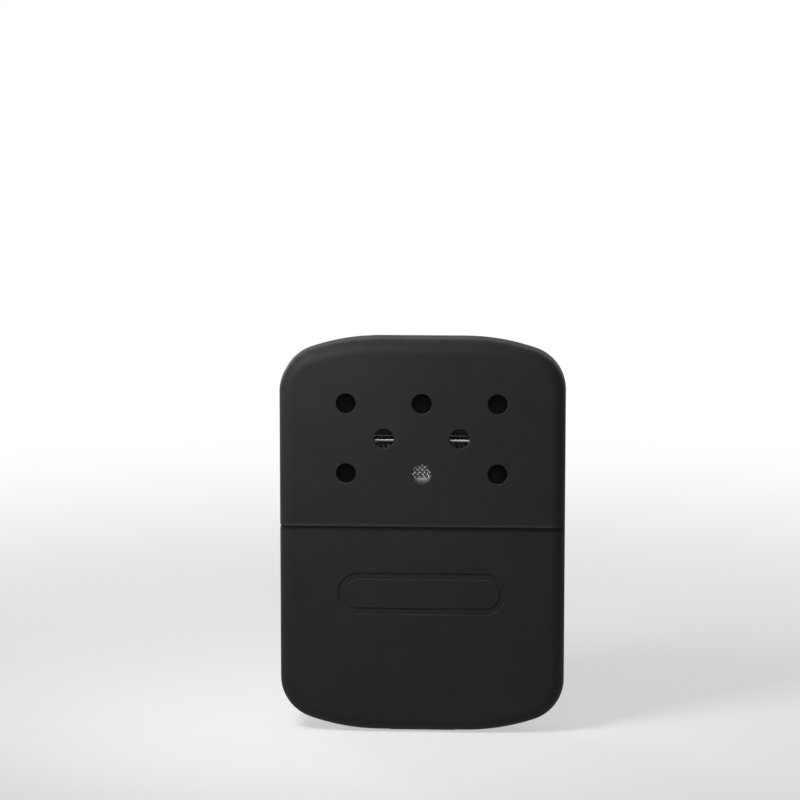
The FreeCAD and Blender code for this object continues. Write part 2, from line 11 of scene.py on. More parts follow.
import bmesh
import bpy
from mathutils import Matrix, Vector

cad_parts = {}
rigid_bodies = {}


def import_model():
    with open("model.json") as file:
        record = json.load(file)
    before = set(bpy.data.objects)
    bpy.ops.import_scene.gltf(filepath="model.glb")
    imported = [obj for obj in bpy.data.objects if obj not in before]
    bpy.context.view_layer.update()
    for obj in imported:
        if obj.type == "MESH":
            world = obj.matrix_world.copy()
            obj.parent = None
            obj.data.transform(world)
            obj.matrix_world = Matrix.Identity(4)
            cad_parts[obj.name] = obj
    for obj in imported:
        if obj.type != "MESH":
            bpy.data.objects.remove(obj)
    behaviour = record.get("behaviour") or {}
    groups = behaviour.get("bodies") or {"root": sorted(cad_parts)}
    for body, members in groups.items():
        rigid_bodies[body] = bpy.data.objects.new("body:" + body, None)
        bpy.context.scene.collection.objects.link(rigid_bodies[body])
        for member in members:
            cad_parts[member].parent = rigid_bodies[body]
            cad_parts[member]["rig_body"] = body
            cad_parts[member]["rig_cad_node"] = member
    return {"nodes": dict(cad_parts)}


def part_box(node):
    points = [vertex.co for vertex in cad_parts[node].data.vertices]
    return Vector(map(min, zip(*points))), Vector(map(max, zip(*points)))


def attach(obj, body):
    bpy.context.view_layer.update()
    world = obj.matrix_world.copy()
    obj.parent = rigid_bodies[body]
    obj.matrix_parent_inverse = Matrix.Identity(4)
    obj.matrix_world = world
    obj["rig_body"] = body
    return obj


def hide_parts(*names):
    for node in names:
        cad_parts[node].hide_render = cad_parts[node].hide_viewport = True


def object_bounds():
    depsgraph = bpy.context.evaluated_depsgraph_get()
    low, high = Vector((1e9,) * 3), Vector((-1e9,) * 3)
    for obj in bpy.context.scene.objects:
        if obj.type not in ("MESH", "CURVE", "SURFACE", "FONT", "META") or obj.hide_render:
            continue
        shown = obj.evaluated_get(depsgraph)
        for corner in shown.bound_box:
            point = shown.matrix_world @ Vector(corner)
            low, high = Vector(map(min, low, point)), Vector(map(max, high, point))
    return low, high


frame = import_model()
packed_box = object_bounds()

bl_info = {
    "name": "Pocket Hand Warmer",
    "version": (1, 0, 0),
    "blender": (4, 5, 0),
    "location": "View3D > Sidebar > Hand Warmer",
    "description": "Finishes a packed pocket hand warmer and sets it in a studio",
    "category": "Object",
}

MM = 0.001
WHITE = (1, 1, 1, 1)


# Settings

class CaseCoatSettings(bpy.types.PropertyGroup):
    """The black coat on the lid and the tank."""
    colour: bpy.props.FloatVectorProperty(
        name="Colour", description="Colour of the black coat", subtype="COLOR",
        size=4, min=0, max=1, default=(0.0140, 0.0154, 0.0163, 1))
    # Colour where the coat is rubbed, also used for the painted highlights on the lid's rim and the ring's
    # upward edges
    worn_and_lit_colour: bpy.props.FloatVectorProperty(
        name="Worn Colour", description="Colour where the coat is rubbed", subtype="COLOR",
        size=4, min=0, max=1, default=(0.026, 0.0278, 0.0292, 1))
    inside_colour: bpy.props.FloatVectorProperty(
        name="Inside Colour", description="Colour of the thinner coat inside the lid", subtype="COLOR",
        size=4, min=0, max=1, default=(0.025, 0.026, 0.027, 1))
    # Painted shade in the gap between the lid and the tank, also on the collar below the lid
    seam_shade_colour: bpy.props.FloatVectorProperty(
        name="Seam Colour", description="Colour of the grime between the lid and the tank", subtype="COLOR",
        size=4, min=0, max=1, default=(0.0085, 0.0088, 0.0092, 1))
    roughness: bpy.props.FloatProperty(
        name="Roughness", description="How matt the coat is", subtype="FACTOR", min=0, max=1, default=0.56)
    grain_size: bpy.props.FloatProperty(
        name="Grain", description="Size of the coat's grain", unit="LENGTH", min=0.00005, default=0.00028)
    grain_depth: bpy.props.FloatProperty(
        name="Grain Depth", description="Depth of the coat's grain", unit="LENGTH", min=0, default=0.00001)
    # How pale the painted highlight along the lid's lower rim is
    rim_highlight: bpy.props.FloatProperty(
        name="Handling", description="How pale the lid's lower rim is rubbed", subtype="FACTOR",
        min=0, max=1, default=0.85)


class PlatingSettings(bpy.types.PropertyGroup):
    """The bare metals of the collar, the throat and the burner."""
    nickel: bpy.props.FloatVectorProperty(
        name="Nickel", description="Colour of the plated collar, deck and throat", subtype="COLOR",
        size=4, min=0, max=1, default=(0.60, 0.585, 0.55, 1))
    steel: bpy.props.FloatVectorProperty(
        name="Steel", description="Colour of the burner's sheet", subtype="COLOR",
        size=4, min=0, max=1, default=(0.30, 0.30, 0.297, 1))
    # Also the colour of the painted highlight on the cage's top edge
    wire: bpy.props.FloatVectorProperty(
        name="Wire", description="Colour of the gauze and of the cage's polished top edge", subtype="COLOR",
        size=4, min=0, max=1, default=(0.80, 0.80, 0.79, 1))
    heat_tint: bpy.props.FloatVectorProperty(
        name="Heat Tint", description="Colour of the sheet where it was hottest", subtype="COLOR",
        size=4, min=0, max=1, default=(0.13, 0.115, 0.09, 1))
    # Painted shade: darkens the gauze and the pad towards their tops, and the cage's inside
    burner_shade: bpy.props.FloatVectorProperty(
        name="Smoked", description="Colour of the gauze, the pad and the inside of the cage where smoky",
        subtype="COLOR", size=4, min=0, max=1, default=(0.06, 0.058, 0.055, 1))


class GauzeSettings(bpy.types.PropertyGroup):
    """The woven gauze."""
    pitch: bpy.props.FloatProperty(
        name="Pitch", description="From one wire to the next", unit="LENGTH", min=0.0002, default=0.00085)
    wire: bpy.props.FloatProperty(
        name="Wire", description="Diameter of the wire", unit="LENGTH", min=0.00005, default=0.0003)


class FibreSettings(bpy.types.PropertyGroup):
    """The catalyst's glass fibre and the tank's cotton."""
    glass: bpy.props.FloatVectorProperty(
        name="Glass Fibre", description="Colour of the catalyst pad", subtype="COLOR",
        size=4, min=0, max=1, default=(0.37, 0.37, 0.365, 1))
    cotton: bpy.props.FloatVectorProperty(
        name="Cotton", description="Colour of the cotton", subtype="COLOR",
        size=4, min=0, max=1, default=(0.82, 0.79, 0.72, 1))
    pad_strands: bpy.props.IntProperty(
        name="Pad Strands", description="Most loose strands on the catalyst pad", min=0, default=320)
    wick_strands: bpy.props.IntProperty(
        name="Wick Strands", description="Loose strands on the cotton in the throat", min=0, default=260)


class StudioSettings(bpy.types.PropertyGroup):
    """The camera, the lamps and the floor."""
    lens: bpy.props.FloatProperty(
        name="Lens", description="Focal length in millimetres", min=10, default=150)
    scale: bpy.props.FloatProperty(
        name="Scale", description="Picture points for each millimetre of the object", min=0.1, default=4.17)
    azimuth: bpy.props.FloatProperty(
        name="Azimuth", description="Turn of the camera to the right", subtype="ANGLE",
        default=math.radians(2.5))
    elevation: bpy.props.FloatProperty(
        name="Elevation", description="Height of the camera above the object", subtype="ANGLE",
        default=math.radians(11))
    across: bpy.props.FloatProperty(
        name="Across", description="Picture point of the object's middle from the left", default=423.0)
    down: bpy.props.FloatProperty(
        name="Down", description="Picture point of the object's middle from the top", default=533.5)
    floor: bpy.props.FloatVectorProperty(
        name="Floor", description="Colour of the floor", subtype="COLOR",
        size=4, min=0, max=1, default=(0.8, 0.8, 0.8, 1))
    surround: bpy.props.FloatProperty(
        name="Surround", description="Strength of the even light from all round", min=0, default=0.25)
    key_power: bpy.props.FloatProperty(
        name="Key Lamp", description="Power of the lamp above the front", unit="POWER",
        min=0, default=0.125)
    fill_power: bpy.props.FloatProperty(
        name="Fill Lamp", description="Power of the lamp far in front", unit="POWER", min=0, default=1.8)
    back_power: bpy.props.FloatProperty(
        name="Back Lamp", description="Power of the lamp far behind", unit="POWER", min=0, default=4.0)


# Selecting and modelling

SMOOTH_ANGLE = math.radians(50)
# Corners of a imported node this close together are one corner
SAME_CORNER = 0.002 * MM
# How far large faces outweigh small ones in a smooth normal, at most 100
FLAT_WEIGHT = 100


def select_only(*pieces):
    """Selects these pieces alone, with the first one active."""
    bpy.ops.object.select_all(action="DESELECT")
    for piece in pieces:
        piece.select_set(True)
    bpy.context.view_layer.objects.active = pieces[0]


def active():
    """The piece that the last step made or chose."""
    return bpy.context.view_layer.objects.active


def apply_all_modifiers(piece):
    """Turns what a piece's modifiers show into its mesh."""
    select_only(piece)
    for modifier in list(piece.modifiers):
        bpy.ops.object.modifier_apply(modifier=modifier.name)


def apply_place(piece):
    """Moves a piece's place, turn and scale into its mesh."""
    select_only(piece)
    bpy.ops.object.transform_apply(location=True, rotation=True, scale=True)


def dress(piece, name, material, body, slot, *nodes):
    """Names a finished piece, gives it its finish, ties it to its body and hides the nodes it stands for.
    """
    piece.name = name
    piece.data.name = name
    piece.data.materials.clear()
    piece.data.materials.append(material)
    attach(piece, body)
    if nodes:
        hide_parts(*nodes)


def merged_copy(node_name):
    """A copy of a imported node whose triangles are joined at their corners."""
    select_only(frame["nodes"][node_name])
    bpy.ops.object.duplicate()
    piece = active()
    piece.parent = None
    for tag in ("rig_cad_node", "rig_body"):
        del piece[tag]
    bpy.ops.object.mode_set(mode="EDIT")
    bpy.ops.mesh.select_all(action="SELECT")
    bpy.ops.mesh.remove_doubles(threshold=SAME_CORNER)
    bpy.ops.object.mode_set(mode="OBJECT")
    return piece


def smooth_copy(node_name):
    """A merged copy with soft rounded edges and true flats."""
    piece = merged_copy(node_name)
    bpy.ops.mesh.customdata_custom_splitnormals_clear()
    bpy.ops.object.shade_smooth_by_angle(angle=SMOOTH_ANGLE)
    flats = piece.modifiers.new("Flats", "WEIGHTED_NORMAL")
    flats.mode = "FACE_AREA"
    flats.weight = FLAT_WEIGHT
    flats.keep_sharp = True
    apply_all_modifiers(piece)
    return piece


# Shader nodes

def node(tree, kind, inputs=None, **settings):
    """Adds a node, sets its properties, and sets or links its inputs."""
    made = tree.nodes.new(kind)
    for name, setting in settings.items():
        setattr(made, name, setting)
    for name, value in (inputs or {}).items():
        if isinstance(value, bpy.types.NodeSocket):
            tree.links.new(value, made.inputs[name])
        else:
            made.inputs[name].default_value = value
    return made


def calc(tree, operation, first, second=0.0):
    """A sum, product or other function of one or two values."""
    return node(tree, "ShaderNodeMath", {0: first, 1: second}, operation=operation).outputs[0]


def vector_calc(tree, operation, first, second):
    """A sum, product or other function of two vectors."""
    return node(tree, "ShaderNodeVectorMath", {0: first, 1: second}, operation=operation).outputs[0]


def span(tree, value, low, high, to_low=0.0, to_high=1.0):
    """A value from low to high mapped onto another range, and held at its ends."""
    inputs = {"Value": value, "From Min": low, "From Max": high, "To Min": to_low, "To Max": to_high}
    return node(tree, "ShaderNodeMapRange", inputs).outputs["Result"]


def blend_colour(tree, share, first, second):
    """The first colour, turning into the second as the share goes from 0 to 1."""
    inputs = {0: share, 6: first, 7: second}
    return node(tree, "ShaderNodeMix", inputs, data_type="RGBA").outputs[2]


def darker(colour, share):
    """A colour with that share of its light."""
    return (*(share * part for part in colour[:3]), 1)


def place(tree, stretch=(1, 1, 1)):
    """Object coordinates, with each axis multiplied."""
    spot = node(tree, "ShaderNodeTexCoord").outputs["Object"]
    return vector_calc(tree, "MULTIPLY", spot, stretch)


def rest_height(tree):
    """Height above the floor with the object at rest."""
    return node(tree, "ShaderNodeSeparateXYZ", {0: place(tree)}).outputs["Z"]


def facing(tree):
    """The way that the surface faces, as X, Y and Z."""
    normal = node(tree, "ShaderNodeNewGeometry").outputs["Normal"]
    return node(tree, "ShaderNodeSeparateXYZ", {0: normal}).outputs


def noise(tree, spot, scale, detail, roughness=0.5):
    """Soft random patches, as a value Fac and a colour Color."""
    inputs = {"Vector": spot, "Scale": scale, "Detail": detail, "Roughness": roughness}
    return node(tree, "ShaderNodeTexNoise", inputs).outputs


def bump(tree, height, distance, strength, under=None):
    """A normal raised by a height; under is a coarser normal beneath it."""
    inputs = {"Height": height, "Distance": distance, "Strength": strength}
    if under:
        inputs["Normal"] = under
    return node(tree, "ShaderNodeBump", inputs).outputs["Normal"]


def feed(target, name, value):
    """Links a value to one of a node's inputs."""
    target.id_data.links.new(value, target.inputs[name])


def new_finish(name):
    """A new material, its node tree and its shader."""
    material = bpy.data.materials.new(name)
    material.use_nodes = True
    tree = material.node_tree
    return material, tree, tree.nodes["Principled BSDF"]


# Effects that the finishes share

# Size of a grain as a share of its clouds, and of a strand as a share of the swirls that bend it
GRAIN_TO_CLOUD = 0.03
STRAND_TO_SWIRL = 0.08
# How far the swirls can push a strand
SWIRL_PUSH = 2.2 * MM
# Factors by axis that draw a pattern out, into upright lines and into strands that lie three ways
UPRIGHT = (1, 1, 0.03)
STRAND_LIES = ((1, 1, 0.14), (0.14, 1, 1), (0.5, 1, 0.2))


def new_effect(name, inputs, outputs):
    """An empty node group with named number inputs and outputs."""
    tree = bpy.data.node_groups.new(name, "ShaderNodeTree")
    for label, default in inputs.items():
        socket = tree.interface.new_socket(label, in_out="INPUT", socket_type="NodeSocketFloat")
        socket.default_value = default
    for label in outputs:
        tree.interface.new_socket(label, in_out="OUTPUT", socket_type="NodeSocketFloat")
    return tree, tree.nodes.new("NodeGroupInput").outputs, tree.nodes.new("NodeGroupOutput").inputs


def use_effect(tree, name, **inputs):
    """Places a shared effect in a material, making it the first time, and returns its outputs."""
    effect = bpy.data.node_groups.get(name) or EFFECTS[name](name)
    made = node(tree, "ShaderNodeGroup", node_tree=effect)
    for label, value in inputs.items():
        made.inputs[label.title()].default_value = value
    return made.outputs


def grain_effect(name):
    """Fine even grain: a height, and cloudy patches many grains across."""
    tree, given, made = new_effect(name, {"Size": 0.3 * MM}, ("Height", "Clouds"))
    spot = place(tree)
    fine = calc(tree, "DIVIDE", 1.0, given["Size"])
    broad = calc(tree, "MULTIPLY", fine, GRAIN_TO_CLOUD)
    grains = noise(tree, spot, fine, detail=3, roughness=0.6)
    clouds = noise(tree, spot, broad, detail=4)
    tree.links.new(grains["Fac"], made["Height"])
    tree.links.new(clouds["Fac"], made["Clouds"])
    return tree


def upright_scuff_effect(name):
    """Thin upright rub lines, as from a sliding fit or from drawing the sheet."""
    tree, given, made = new_effect(name, {"Spacing": 0.4 * MM, "Amount": 0.4}, ("Height", "Mask"))
    rare_peak = 0.8
    common_level = 0.4
    fine = calc(tree, "DIVIDE", 1.0, given["Spacing"])
    lines = noise(tree, place(tree, UPRIGHT), fine, detail=3)["Fac"]
    least = span(tree, given["Amount"], 0.0, 1.0, to_low=rare_peak, to_high=common_level)
    tree.links.new(lines, made["Height"])
    tree.links.new(calc(tree, "GREATER_THAN", lines, least), made["Mask"])
    return tree


def rubbed_edge_effect(name):
    """Patchy mask on what faces neither the front nor the back, so on the rounded edges and the rims."""
    tree, given, made = new_effect(name, {"Patch": 3 * MM, "Amount": 0.5}, ("Mask",))
    flat = 0.97
    rounded = 0.55
    turned = span(tree, calc(tree, "ABSOLUTE", facing(tree)["Y"]), flat, rounded)
    broad = calc(tree, "DIVIDE", 1.0, given["Patch"])
    patches = span(tree, noise(tree, place(tree), broad, detail=5)["Fac"], 0.35, 0.7)
    mask = calc(tree, "MULTIPLY", calc(tree, "MULTIPLY", turned, patches), given["Amount"])
    tree.links.new(mask, made["Mask"])
    return tree


def tangle_effect(name):
    """Crossing fibres: a height that rises along strands lying in several directions."""
    tree, given, made = new_effect(name, {"Strand": 0.2 * MM}, ("Height", "Clouds"))
    spot = place(tree)
    fine = calc(tree, "DIVIDE", 1.0, given["Strand"])
    swirl = noise(tree, spot, calc(tree, "MULTIPLY", fine, STRAND_TO_SWIRL), detail=2)
    push = vector_calc(tree, "MULTIPLY", swirl["Color"], (SWIRL_PUSH, SWIRL_PUSH, SWIRL_PUSH))
    bent = vector_calc(tree, "ADD", spot, push)
    height = 0.0
    for stretch in STRAND_LIES:
        strands = noise(tree, vector_calc(tree, "MULTIPLY", bent, stretch), fine, detail=1)["Fac"]
        height = calc(tree, "MAXIMUM", height, strands)
    tree.links.new(height, made["Height"])
    tree.links.new(swirl["Fac"], made["Clouds"])
    return tree


EFFECTS = {
    "Grain": grain_effect,
    "Upright Scuffs": upright_scuff_effect,
    "Rubbed Edges": rubbed_edge_effect,
    "Tangle": tangle_effect,
}


# Finishes

# Where the value of clouds starts and ends, but for a few rare peaks
CLOUD_LOW = 0.3
CLOUD_HIGH = 0.7
# Matt paint reflects little
COAT_SPECULAR = 0.05
# About how far it is from one low place of the uneven sheet to the next
SHEET_WAVE = 14 * MM
# How far above its rim the lid's own colours start, and are full
LID_START = 0.15 * MM
LID_FULL = 0.3 * MM
# From the tank's rim down to the middle of the pressed ring, and what holds the whole ring either way
RING_DROP = 15.5 * MM
RING_REACH = 6 * MM


def cloudy(tree, clouds, low, high):
    """A value that wanders between low and high with the clouds."""
    return span(tree, clouds, CLOUD_LOW, CLOUD_HIGH, low, high)


def changed_where(tree, value, mask, change):
    """A value with so much added where a mask is 1."""
    return calc(tree, "ADD", value, calc(tree, "MULTIPLY", mask, change))


def faces_middle(tree, node_name):
    """1 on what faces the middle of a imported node, so on its inside."""
    low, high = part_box(node_name)
    inward = vector_calc(tree, "SUBTRACT", (low + high) / 2, place(tree))
    normal = node(tree, "ShaderNodeNewGeometry").outputs["Normal"]
    turned = node(tree, "ShaderNodeVectorMath", {0: normal, 1: inward}, operation="DOT_PRODUCT")
    return calc(tree, "GREATER_THAN", turned.outputs["Value"], 0.0)


def risen(tree, node_name, start, end):
    """0 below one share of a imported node's height and 1 above another."""
    low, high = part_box(node_name)
    tall = high.z - low.z
    return span(tree, rest_height(tree), low.z + start * tall, low.z + end * tall)


def rubbed_edges(tree, above_rim):
    """Patchy wear on the rounded edges, but none beside the seam."""
    unworn_to = 0.6 * MM
    worn_from = 1.2 * MM
    edges = use_effect(tree, "Rubbed Edges", patch=2.5 * MM, amount=0.35)
    clear = span(tree, calc(tree, "ABSOLUTE", above_rim), unworn_to, worn_from)
    return calc(tree, "MULTIPLY", edges["Mask"], clear)


def rim_highlight_band(tree, above_rim, most):
    """Painted highlight in an even band along the lid's lower rim."""
    lit_to = 0.55 * MM
    unlit_from = 1.0 * MM
    return span(tree, above_rim, unlit_from, lit_to, to_high=most)


def ring_ledge_highlight(tree):
    """1 on the edges of the pressed ring that face upward, where a painted highlight goes."""
    steep = 0.15
    level = 0.4
    from_ring = calc(tree, "SUBTRACT", rest_height(tree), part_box("tank_shell")[1].z - RING_DROP)
    near_ring = calc(tree, "LESS_THAN", calc(tree, "ABSOLUTE", from_ring), RING_REACH)
    return calc(tree, "MULTIPLY", near_ring, span(tree, facing(tree)["Z"], steep, level))


def painted_seam_shade(tree, above_rim):
    """Mask of the painted shade in the gap between the lid and the tank: 1 in the gap, fading out beside
    it.
    """
    shade_full_to = 0.2 * MM
    shade_gone_from = 0.35 * MM
    half_gap = (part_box("lid_shell")[0].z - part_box("tank_shell")[1].z) / 2
    from_middle = calc(tree, "ABSOLUTE", calc(tree, "ADD", above_rim, half_gap))
    return span(tree, from_middle, shade_gone_from + half_gap, shade_full_to + half_gap)


def coat_colour(tree, coat, clouds, rubbed, above_rim):
    """Colour of the coat: cloudy, paler where worn and inside the lid, painted highlights on rim and ring,
    painted shade in the seam.
    """
    faint = 0.12
    on_lid = span(tree, above_rim, LID_START, LID_FULL)
    paler = span(tree, clouds, 0.35, 0.65, to_high=faint)
    outside = blend_colour(tree, paler, coat.colour, coat.worn_and_lit_colour)
    in_lid = calc(tree, "MULTIPLY", on_lid, faces_middle(tree, "lid_shell"))
    body = blend_colour(tree, in_lid, outside, coat.inside_colour)
    # Painted highlight along the lid's lower rim
    rim_highlight_mask = calc(tree, "MULTIPLY", on_lid, rim_highlight_band(tree, above_rim, coat.rim_highlight))
    # Real wear on the edges, with painted highlights on the lid's rim and the ring's upward edges
    worn_or_lit = calc(tree, "MAXIMUM", calc(tree, "MAXIMUM", rubbed, rim_highlight_mask), ring_ledge_highlight(tree))
    worn_or_lit_body = blend_colour(tree, worn_or_lit, body, coat.worn_and_lit_colour)
    # Painted shade in the seam
    return blend_colour(tree, painted_seam_shade(tree, above_rim), worn_or_lit_body, coat.seam_shade_colour)


def black_coat_finish(coat):
    """Matt black coat on gently uneven sheet: grain, cloudy gloss, edge wear, painted rim and ring
    highlights, painted seam shade.
    """
    material, tree, shader = new_finish("black_coat")
    grain = use_effect(tree, "Grain", size=coat.grain_size)
    above_rim = calc(tree, "SUBTRACT", rest_height(tree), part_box("lid_shell")[0].z)
    rubbed = rubbed_edges(tree, above_rim)
    feed(shader, "Base Color", coat_colour(tree, coat, grain["Clouds"], rubbed, above_rim))
    matt = cloudy(tree, grain["Clouds"], low=coat.roughness - 0.04, high=coat.roughness + 0.05)
    feed(shader, "Roughness", changed_where(tree, matt, rubbed, change=-0.12))
    waves = noise(tree, place(tree), 1 / SHEET_WAVE, detail=1)["Fac"]
    uneven = bump(tree, waves, distance=0.25 * MM, strength=0.25)
    feed(shader, "Normal", bump(tree, grain["Height"], coat.grain_depth, strength=0.9, under=uneven))
    shader.inputs["Specular IOR Level"].default_value = COAT_SPECULAR
    return material


def satin_nickel_finish(plating, coat):
    """Plated collar and throat: satin, with upright rub lines; black coat with painted seam shade up to
    where the lid sits.
    """
    material, tree, shader = new_finish("satin_nickel")
    smoothest = 0.4
    roughest = 0.48
    black_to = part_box("lid_shell")[0].z + 0.02 * MM
    bare = calc(tree, "GREATER_THAN", rest_height(tree), black_to)
    grain = use_effect(tree, "Grain", size=0.12 * MM)
    scuffs = use_effect(tree, "Upright Scuffs", spacing=0.35 * MM, amount=0.45)
    dull = span(tree, grain["Clouds"], 0.35, 0.7)
    plate = blend_colour(tree, dull, plating.nickel, darker(plating.nickel, share=0.82))
    # Painted seam shade on the collar below where the lid sits
    feed(shader, "Base Color", blend_colour(tree, bare, coat.seam_shade_colour, plate))
    satin = cloudy(tree, grain["Clouds"], smoothest, roughest)
    scuffed = changed_where(tree, satin, scuffs["Mask"], change=0.08)
    black = calc(tree, "SUBTRACT", 1.0, bare)
    feed(shader, "Roughness", changed_where(tree, scuffed, black, coat.roughness - smoothest))
    drawn = bump(tree, scuffs["Height"], distance=0.01 * MM, strength=0.5)
    feed(shader, "Normal", bump(tree, grain["Height"], distance=0.003 * MM, strength=0.5, under=drawn))
    feed(shader, "Metallic", bare)
    shader.inputs["Specular IOR Level"].default_value = COAT_SPECULAR
    return material


def steel_colour(tree, plating, clouds, polished_and_lit):
    """Colour of the burner's sheet: tinted by heat towards its top, a painted highlight on its top edge,
    painted shade inside.
    """
    hot = risen(tree, "burner_cage", start=0.45, end=1.0)
    uneven = calc(tree, "MULTIPLY", hot, span(tree, clouds, 0.3, 0.65, to_low=0.1, to_high=0.7))
    tinted = blend_colour(tree, uneven, plating.steel, plating.heat_tint)
    # Painted highlight on the cage's top edge
    outside = blend_colour(tree, polished_and_lit, tinted, plating.wire)
    above_plate = calc(tree, "GREATER_THAN", rest_height(tree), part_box("vapour_plate")[1].z)
    # Painted shade on the cage's inside above the plate
    shaded_inside = calc(tree, "MULTIPLY", above_plate, faces_middle(tree, "burner_cage"))
    return blend_colour(tree, shaded_inside, outside, plating.burner_shade)


def bright_steel_finish(plating):
    """Burner sheet: bright rolled steel with upright rub lines and a polished top edge with a painted
    highlight.
    """
    material, tree, shader = new_finish("bright_steel")
    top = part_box("burner_cage")[1].z
    grain = use_effect(tree, "Grain", size=0.15 * MM)
    scuffs = use_effect(tree, "Upright Scuffs", spacing=0.22 * MM, amount=0.5)
    dull_to = top - 0.15 * MM
    polished_from = top - 0.08 * MM
    polished_and_lit = span(tree, rest_height(tree), dull_to, polished_from)
    feed(shader, "Base Color", steel_colour(tree, plating, grain["Clouds"], polished_and_lit))
    rolled = cloudy(tree, grain["Clouds"], low=0.24, high=0.34)
    scuffed = changed_where(tree, rolled, scuffs["Mask"], change=0.07)
    feed(shader, "Roughness", changed_where(tree, scuffed, polished_and_lit, change=-0.04))
    feed(shader, "Normal", bump(tree, scuffs["Height"], distance=0.008 * MM, strength=0.5))
    shader.inputs["Metallic"].default_value = 1
    return material


def shaded_towards_top(tree, node_name, skin, burner_shade):
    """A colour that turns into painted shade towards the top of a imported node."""
    return blend_colour(tree, risen(tree, node_name, start=0.4, end=0.85), skin, burner_shade)


def gauze_wire_finish(plating):
    """Drawn wire with a slightly uneven skin, darkened with painted shade towards its top."""
    material, tree, shader = new_finish("gauze_wire")
    grain = use_effect(tree, "Grain", size=0.08 * MM)
    stained = span(tree, grain["Clouds"], 0.45, 0.8)
    skin = blend_colour(tree, stained, plating.wire, darker(plating.wire, share=0.6))
    feed(shader, "Base Color", shaded_towards_top(tree, "front_gauze", skin, plating.burner_shade))
    feed(shader, "Roughness", cloudy(tree, grain["Clouds"], low=0.28, high=0.42))
    feed(shader, "Normal", bump(tree, grain["Height"], distance=0.004 * MM, strength=0.6))
    shader.inputs["Metallic"].default_value = 1
    return material


def fibre_finish(name, colour, strand, sheen, shade_node=None, burner_shade=None):
    """Matted fibre: crossing strands, painted shade in the hollows between them and a soft sheen.

    If a node is named, the fibre darkens with painted shade towards that node's top.
    """
    material, tree, shader = new_finish(name)
    tangle = use_effect(tree, "Tangle", strand=strand)
    # Painted shade in the hollows: only the raised strands keep the full colour
    raised = span(tree, tangle["Height"], 0.45, 0.68)
    lit = calc(tree, "MULTIPLY", raised, span(tree, tangle["Clouds"], 0.3, 0.6, to_low=0.75))
    skin = blend_colour(tree, lit, darker(colour, share=0.6), colour)
    if shade_node:
        skin = shaded_towards_top(tree, shade_node, skin, burner_shade)
    feed(shader, "Base Color", skin)
    feed(shader, "Roughness", cloudy(tree, tangle["Clouds"], low=0.75, high=0.92))
    feed(shader, "Normal", bump(tree, tangle["Height"], distance=0.12 * MM, strength=0.8))
    shader.inputs["Specular IOR Level"].default_value = 0.3
    shader.inputs["Sheen Weight"].default_value = sheen
    shader.inputs["Sheen Roughness"].default_value = 0.5
    return material


# Woven gauze

WIRE_SIDES = 6
# What one round of smoothing leaves of a bend and of a six-sided radius
BEND_LEFT = 0.667
RADIUS_LEFT = 0.833
# Least number of wires past the corners of a sheet before it is trimmed
SPARE_WIRES = 2
# A point this near a cut counts as on it; a coarse value leaves the cut wires open
CUT_CLOSENESS = 0.0001 * MM


def bend_wire(piece, pitch, lift):
    """Moves every second ring of a straight wire up and down in turn; the rings are half a pitch apart."""
    for way in (1, -1):
        bpy.ops.object.mode_set(mode="EDIT")
        bpy.ops.mesh.select_all(action="DESELECT")
        mesh = bmesh.from_edit_mesh(piece.data)
        for corner in mesh.verts:
            step = round(2 * corner.co.x / pitch)
            corner.select = step % 2 == 0 and (step // 2) % 2 == (way < 0)
        mesh.select_flush_mode()
        bmesh.update_edit_mesh(piece.data)
        bpy.ops.transform.translate(value=(0, 0, way * lift))
        bpy.ops.object.mode_set(mode="OBJECT")


def crimped_wire(steps, pitch, diameter):
    """One wire along X, bent over and under every pitch, and that many pitches long to each side."""
    bpy.ops.mesh.primitive_cylinder_add(
        vertices=WIRE_SIDES, radius=diameter / 2 / RADIUS_LEFT, depth=2 * steps * pitch,
        rotation=(0, math.pi / 2, 0))
    wire = active()
    apply_place(wire)
    bpy.ops.object.mode_set(mode="EDIT")
    bpy.ops.mesh.select_all(action="DESELECT")
    bpy.ops.mesh.select_mode(type="EDGE")
    mesh = bmesh.from_edit_mesh(wire.data)
    for edge in mesh.edges:
        edge.select_set(abs(edge.verts[0].co.x - edge.verts[1].co.x) > pitch)
    bmesh.update_edit_mesh(wire.data)
    half_pitches = 4 * steps
    bpy.ops.mesh.subdivide(number_cuts=half_pitches - 1)
    bpy.ops.mesh.select_mode(type="VERT")
    bpy.ops.object.mode_set(mode="OBJECT")
    bend_wire(wire, pitch, diameter / 2 / BEND_LEFT)
    return wire


def turned_copy(piece, about, angle, shift=(0, 0, 0)):
    """A copy of a piece, turned about an axis through the origin and then moved."""
    select_only(piece)
    bpy.ops.object.duplicate()
    copy = active()
    setattr(copy.rotation_euler, about, angle)
    copy.location = shift
    apply_place(copy)
    return copy


def joined(*pieces):
    """Several pieces joined into the first one."""
    select_only(*pieces)
    bpy.ops.object.join()
    return active()


def warp_wires(gauze, steps):
    """Wires along X, a pitch apart, each bent the opposite way to the one before it."""
    pitch = gauze.pitch
    wire = crimped_wire(steps, pitch, gauze.wire)
    warp = joined(wire, turned_copy(wire, "x", math.pi, (0, pitch, 0)))
    row = warp.modifiers.new("Row", "ARRAY")
    row.use_relative_offset = False
    row.use_constant_offset = True
    row.constant_offset_displace = (0, 2 * pitch, 0)
    row.count = steps
    soft = warp.modifiers.new("Soft", "SUBSURF")
    soft.levels = soft.render_levels = 1
    apply_all_modifiers(warp)
    warp.location = (0, -steps * pitch, 0)
    apply_place(warp)
    return warp


